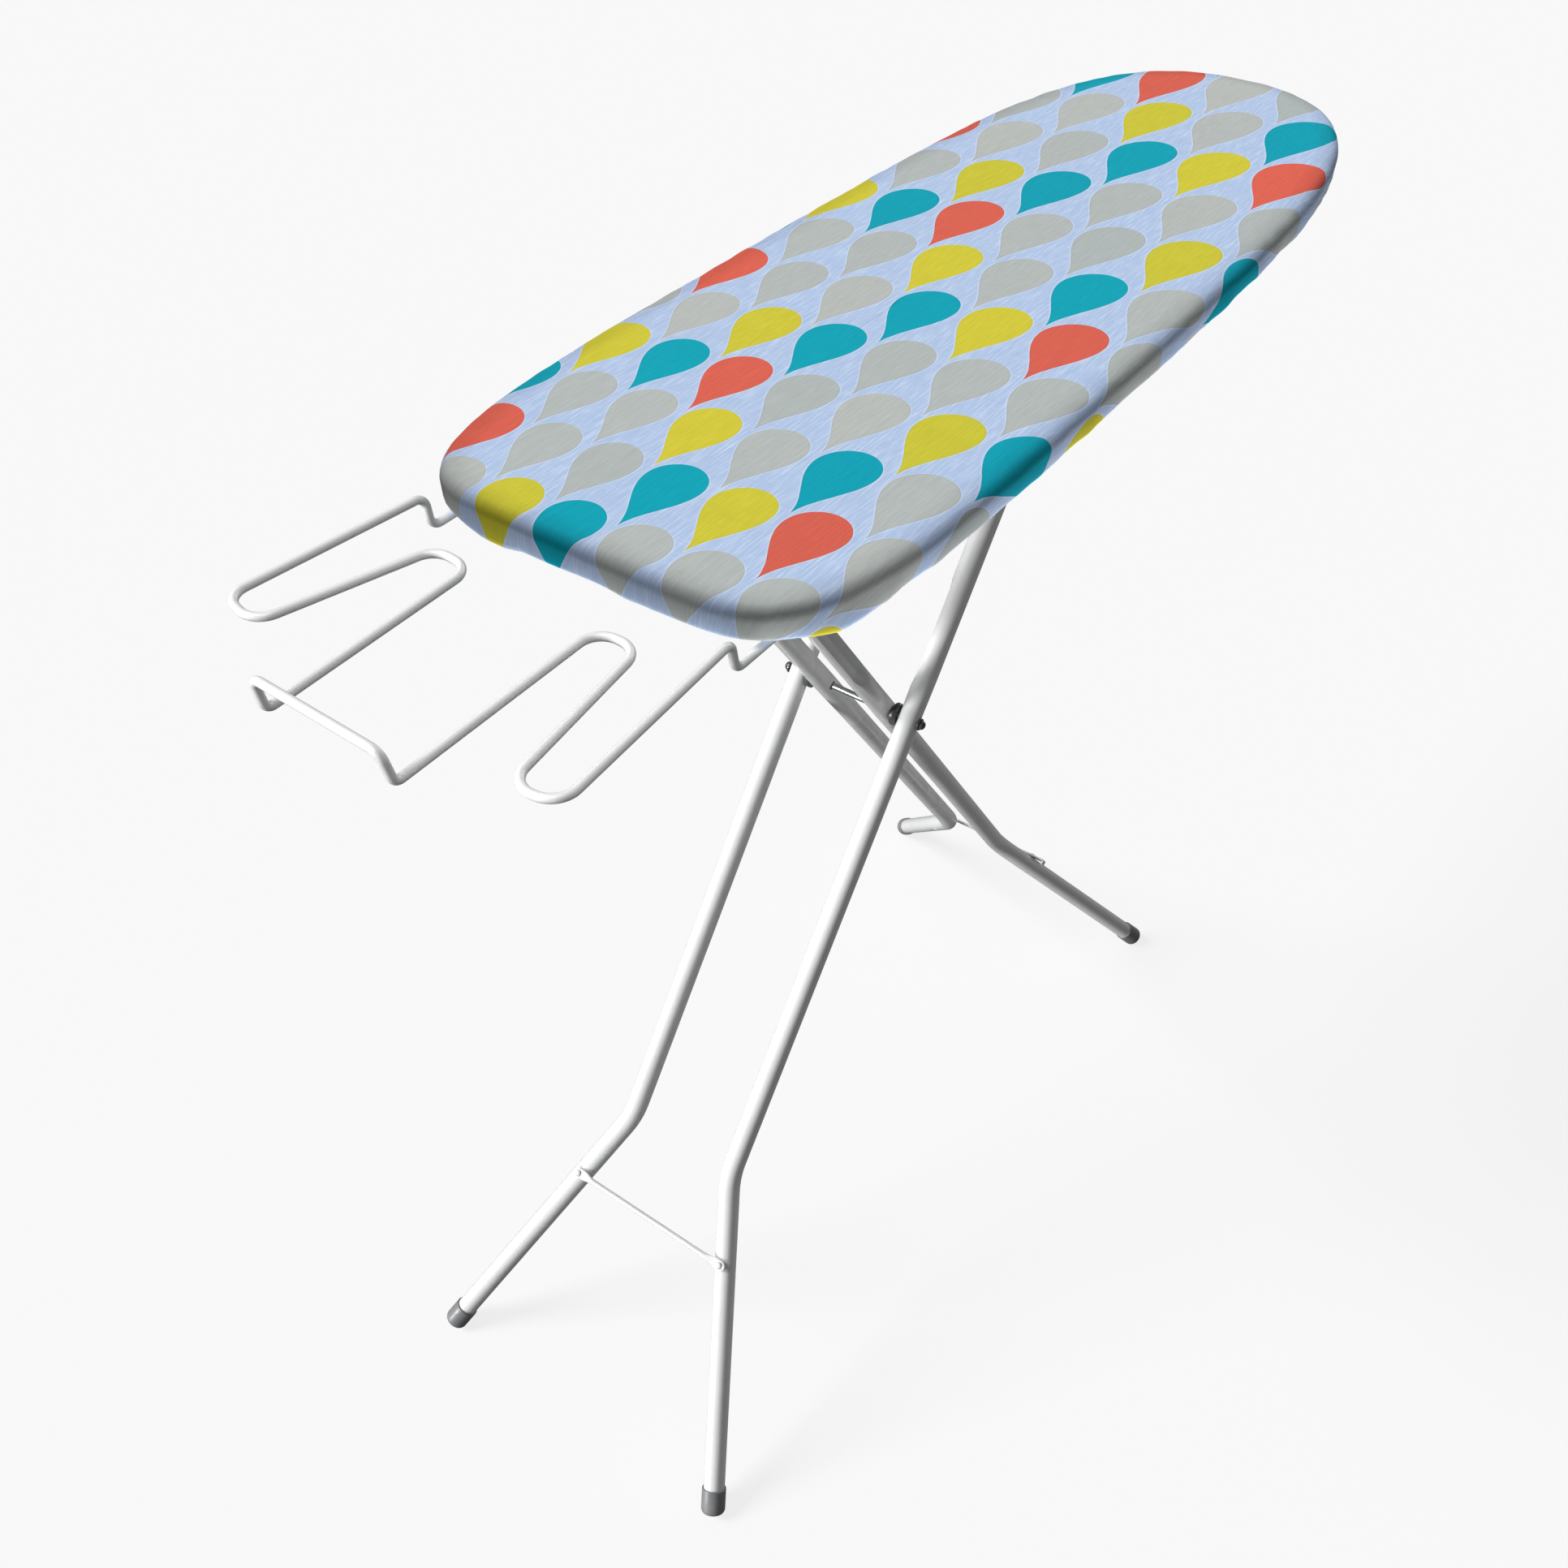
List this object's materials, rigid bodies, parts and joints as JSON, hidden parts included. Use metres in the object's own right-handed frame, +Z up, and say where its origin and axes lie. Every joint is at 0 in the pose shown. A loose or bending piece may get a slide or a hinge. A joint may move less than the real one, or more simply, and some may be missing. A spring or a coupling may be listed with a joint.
{
  "type": "ironing board",
  "caption": "Folding ironing board with crossed tube legs, a printed padded cover, a wire iron rest at the heel and a height lock with a release lever.",
  "frame": {"origin": "on the floor under the centre of the bounding box", "axes": "+X towards the nose, +Y to the left as seen from the heel, +Z up; the iron rest is at -X"},
  "size_m": [1.2638, 0.3672, 0.988],
  "materials": {
    "white_paint": "gloss white powder coat",
    "zinc_steel": "bright zinc",
    "black_nylon": "moulded nylon",
    "grey_plastic": "moulded soft plastic",
    "printed_cotton": "woven cotton with a teardrop print",
    "felt": "needled felt",
    "elastic": "white braided elastic"
  },
  "bodies": {
    "board": {"fabric_cover": "printed_cotton", "hem_elastic": "elastic", "felt_pad": "felt", "top_plate": "zinc_steel", "rim_band": "white_paint", "stringer_left": "white_paint", "stringer_right": "white_paint", "track_rail_left": "zinc_steel", "track_rail_right": "zinc_steel", "cross_member_heel": "white_paint", "cross_member_nose": "white_paint", "track_rod": "zinc_steel", "hinge_bracket": "white_paint", "iron_rest_wire": "white_paint", "rest_socket_left": "white_paint", "rest_socket_right": "white_paint"},
    "inner_leg": {"inner_tube_left": "white_paint", "inner_tube_right": "white_paint", "hinge_pin": "zinc_steel", "hinge_sleeve": "white_paint", "inner_brace_strap": "white_paint", "strap_rivet_left": "white_paint", "strap_rivet_right": "white_paint", "inner_foot_left": "grey_plastic", "inner_foot_right": "grey_plastic"},
    "outer_leg": {"outer_tube_left": "white_paint", "outer_tube_right": "white_paint", "slide_bar": "zinc_steel", "slide_glide_left": "black_nylon", "slide_glide_right": "black_nylon", "outer_brace_rod": "white_paint", "brace_rivet_left": "white_paint", "brace_rivet_right": "white_paint", "pivot_axle": "zinc_steel", "pivot_spacer_left": "black_nylon", "pivot_spacer_right": "black_nylon", "pivot_cap_left": "black_nylon", "pivot_cap_right": "black_nylon", "outer_foot_left": "grey_plastic", "outer_foot_right": "grey_plastic"},
    "carriage": {"carriage_block": "black_nylon", "lock_spring": "zinc_steel", "lever_screw": "zinc_steel"},
    "release_lever": {"release_lever": "zinc_steel", "lever_grip": "black_nylon"},
    "lock_plate": {"lock_plate": "zinc_steel"}
  },
  "joints": [
    {"name": "leg_fold", "type": "hinge", "parent": "board", "child": "inner_leg", "pos_m": [-0.29841, 0, 0.93499], "axis": [0, -1, 0], "range_deg": [0, 52.7]},
    {"name": "cross_pivot", "type": "hinge", "parent": "inner_leg", "child": "outer_leg", "pos_m": [-0.077, 0, 0.628], "axis": [0, 1, 0], "range_deg": [0, 105.4]},
    {"name": "slide_pivot", "type": "hinge", "parent": "outer_leg", "child": "carriage", "pos_m": [0.14441, 0, 0.93499], "axis": [0, -1, 0], "range_deg": [0, 52.7]},
    {"name": "lever_squeeze", "type": "hinge", "parent": "carriage", "child": "release_lever", "pos_m": [0.16441, -0.008, 0.93449], "axis": [-1, 0, 0], "range_deg": [0, 6], "stiffness_Nm_per_rad": 1.5, "springref_deg": -11.46},
    {"name": "lock_tilt", "type": "hinge", "parent": "carriage", "child": "lock_plate", "pos_m": [0.15091, 0, 0.94309], "axis": [0, 1, 0], "range_deg": [0, 6]}
  ],
  "couplings": [
    {"joint": "cross_pivot", "follows": "leg_fold", "ratio": 2},
    {"joint": "slide_pivot", "follows": "leg_fold", "ratio": 1},
    {"joint": "lock_tilt", "follows": "lever_squeeze", "ratio": 1}
  ]
}
